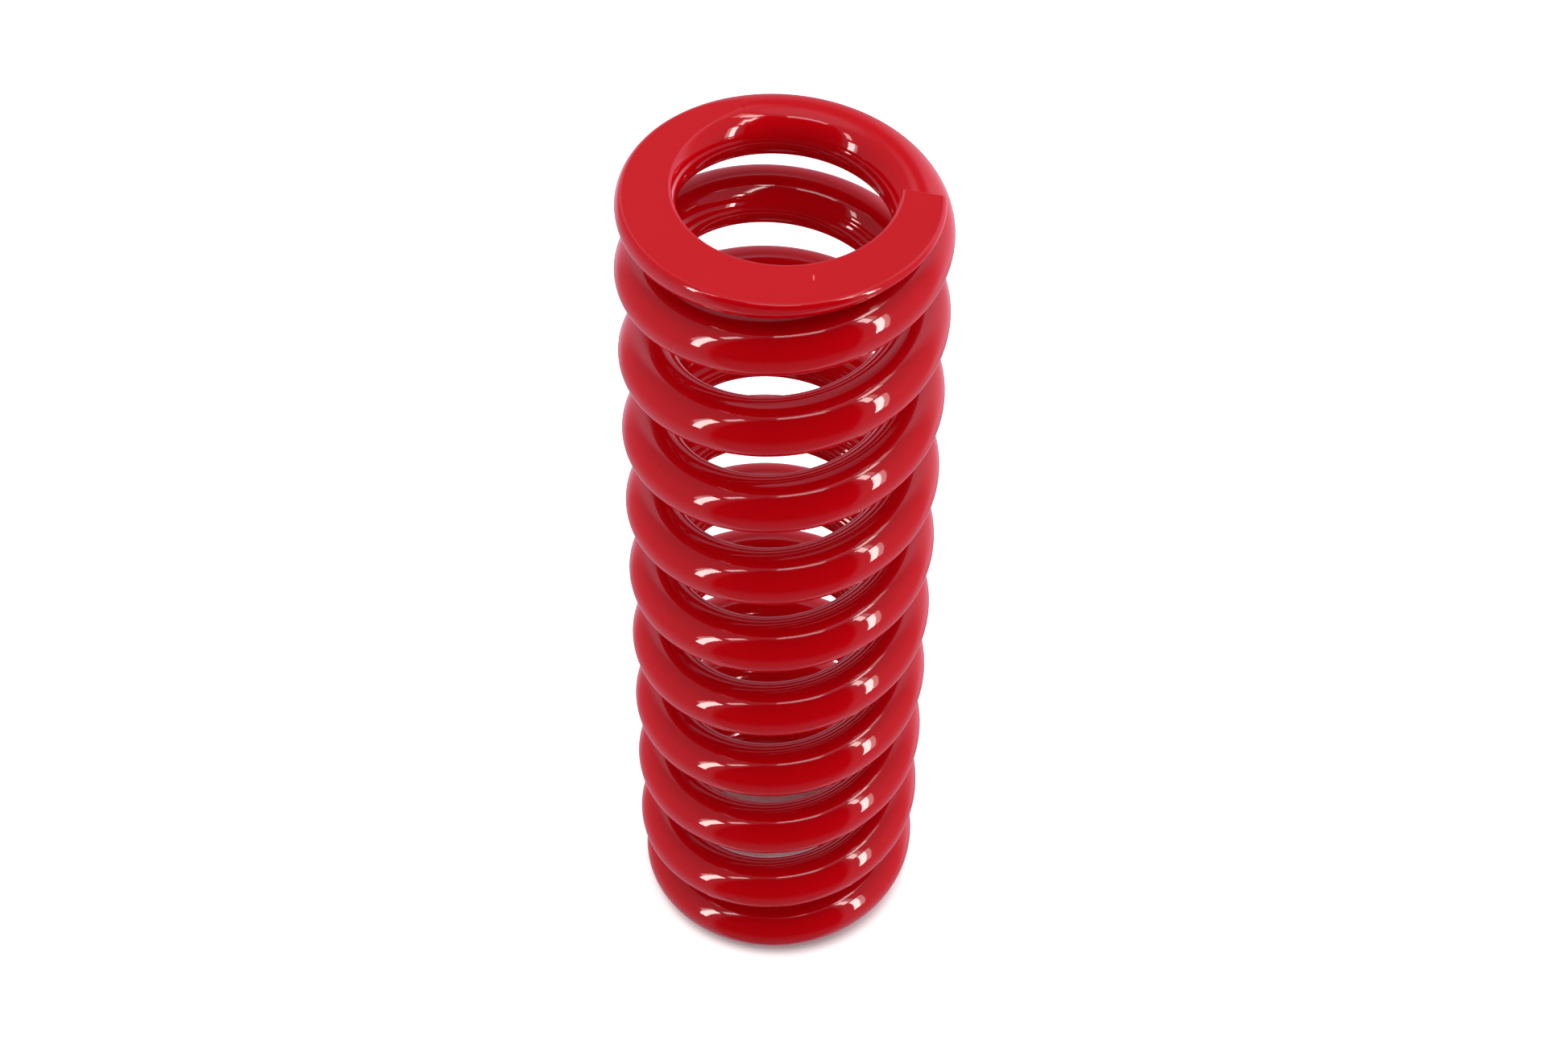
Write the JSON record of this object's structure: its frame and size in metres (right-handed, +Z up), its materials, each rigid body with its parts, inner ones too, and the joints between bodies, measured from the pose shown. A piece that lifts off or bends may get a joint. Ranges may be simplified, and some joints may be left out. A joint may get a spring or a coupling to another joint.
{
  "type": "coil spring",
  "caption": "Round-bar compression spring, right-hand wound, with closed and ground ends, for a coil-over shock absorber; its turns close together as it shortens.",
  "frame": {"origin": "on the spring's axis, in the plane of the lower ground face", "axes": "+Z up along the spring's axis; +X points close to the tip of the upper ground end"},
  "size_m": [0.0714, 0.0714, 0.232],
  "materials": {
    "bar_paint": "gloss",
    "ground_end_paint": "satin on the ground face, gloss on the round of the bar"
  },
  "bodies": {
    "lower_end": {"lower_ground_end": "ground_end_paint", "lower_run_in": "bar_paint"},
    "half_turn_01": {"half_turn_01": "bar_paint"},
    "half_turn_02": {"half_turn_02": "bar_paint"},
    "half_turn_03": {"half_turn_03": "bar_paint"},
    "half_turn_04": {"half_turn_04": "bar_paint"},
    "half_turn_05": {"half_turn_05": "bar_paint"},
    "half_turn_06": {"half_turn_06": "bar_paint"},
    "half_turn_07": {"half_turn_07": "bar_paint"},
    "half_turn_08": {"half_turn_08": "bar_paint"},
    "half_turn_09": {"half_turn_09": "bar_paint"},
    "half_turn_10": {"half_turn_10": "bar_paint"},
    "half_turn_11": {"half_turn_11": "bar_paint"},
    "half_turn_12": {"half_turn_12": "bar_paint"},
    "half_turn_13": {"half_turn_13": "bar_paint"},
    "half_turn_14": {"half_turn_14": "bar_paint"},
    "half_turn_15": {"half_turn_15": "bar_paint"},
    "half_turn_16": {"half_turn_16": "bar_paint"},
    "half_turn_17": {"half_turn_17": "bar_paint"},
    "upper_end": {"upper_run_out": "bar_paint", "upper_ground_end": "ground_end_paint"}
  },
  "joints": [
    {"name": "compression", "type": "slide", "parent": "lower_end", "child": "upper_end", "axis": [0, 0, -1], "range_m": [0, 0.082], "stiffness_N_per_m": 145000},
    {"name": "half_turn_01_travel", "type": "slide", "parent": "lower_end", "child": "half_turn_01", "axis": [0, 0, -1], "range_m": [0, 0.0012]},
    {"name": "half_turn_02_travel", "type": "slide", "parent": "lower_end", "child": "half_turn_02", "axis": [0, 0, -1], "range_m": [0, 0.00618]},
    {"name": "half_turn_03_travel", "type": "slide", "parent": "lower_end", "child": "half_turn_03", "axis": [0, 0, -1], "range_m": [0, 0.01118]},
    {"name": "half_turn_04_travel", "type": "slide", "parent": "lower_end", "child": "half_turn_04", "axis": [0, 0, -1], "range_m": [0, 0.01617]},
    {"name": "half_turn_05_travel", "type": "slide", "parent": "lower_end", "child": "half_turn_05", "axis": [0, 0, -1], "range_m": [0, 0.02117]},
    {"name": "half_turn_06_travel", "type": "slide", "parent": "lower_end", "child": "half_turn_06", "axis": [0, 0, -1], "range_m": [0, 0.02617]},
    {"name": "half_turn_07_travel", "type": "slide", "parent": "lower_end", "child": "half_turn_07", "axis": [0, 0, -1], "range_m": [0, 0.03116]},
    {"name": "half_turn_08_travel", "type": "slide", "parent": "lower_end", "child": "half_turn_08", "axis": [0, 0, -1], "range_m": [0, 0.03616]},
    {"name": "half_turn_09_travel", "type": "slide", "parent": "lower_end", "child": "half_turn_09", "axis": [0, 0, -1], "range_m": [0, 0.04116]},
    {"name": "half_turn_10_travel", "type": "slide", "parent": "lower_end", "child": "half_turn_10", "axis": [0, 0, -1], "range_m": [0, 0.04615]},
    {"name": "half_turn_11_travel", "type": "slide", "parent": "lower_end", "child": "half_turn_11", "axis": [0, 0, -1], "range_m": [0, 0.05115]},
    {"name": "half_turn_12_travel", "type": "slide", "parent": "lower_end", "child": "half_turn_12", "axis": [0, 0, -1], "range_m": [0, 0.05614]},
    {"name": "half_turn_13_travel", "type": "slide", "parent": "lower_end", "child": "half_turn_13", "axis": [0, 0, -1], "range_m": [0, 0.06114]},
    {"name": "half_turn_14_travel", "type": "slide", "parent": "lower_end", "child": "half_turn_14", "axis": [0, 0, -1], "range_m": [0, 0.06614]},
    {"name": "half_turn_15_travel", "type": "slide", "parent": "lower_end", "child": "half_turn_15", "axis": [0, 0, -1], "range_m": [0, 0.07113]},
    {"name": "half_turn_16_travel", "type": "slide", "parent": "lower_end", "child": "half_turn_16", "axis": [0, 0, -1], "range_m": [0, 0.07613]},
    {"name": "half_turn_17_travel", "type": "slide", "parent": "lower_end", "child": "half_turn_17", "axis": [0, 0, -1], "range_m": [0, 0.08066]}
  ],
  "couplings": [
    {"joint": "half_turn_01_travel", "follows": "compression", "ratio": 0.0145},
    {"joint": "half_turn_02_travel", "follows": "compression", "ratio": 0.07527},
    {"joint": "half_turn_03_travel", "follows": "compression", "ratio": 0.1362},
    {"joint": "half_turn_04_travel", "follows": "compression", "ratio": 0.19713},
    {"joint": "half_turn_05_travel", "follows": "compression", "ratio": 0.25806},
    {"joint": "half_turn_06_travel", "follows": "compression", "ratio": 0.31899},
    {"joint": "half_turn_07_travel", "follows": "compression", "ratio": 0.37992},
    {"joint": "half_turn_08_travel", "follows": "compression", "ratio": 0.44085},
    {"joint": "half_turn_09_travel", "follows": "compression", "ratio": 0.50178},
    {"joint": "half_turn_10_travel", "follows": "compression", "ratio": 0.56271},
    {"joint": "half_turn_11_travel", "follows": "compression", "ratio": 0.62364},
    {"joint": "half_turn_12_travel", "follows": "compression", "ratio": 0.68457},
    {"joint": "half_turn_13_travel", "follows": "compression", "ratio": 0.7455},
    {"joint": "half_turn_14_travel", "follows": "compression", "ratio": 0.80643},
    {"joint": "half_turn_15_travel", "follows": "compression", "ratio": 0.86736},
    {"joint": "half_turn_16_travel", "follows": "compression", "ratio": 0.92829},
    {"joint": "half_turn_17_travel", "follows": "compression", "ratio": 0.9835}
  ]
}
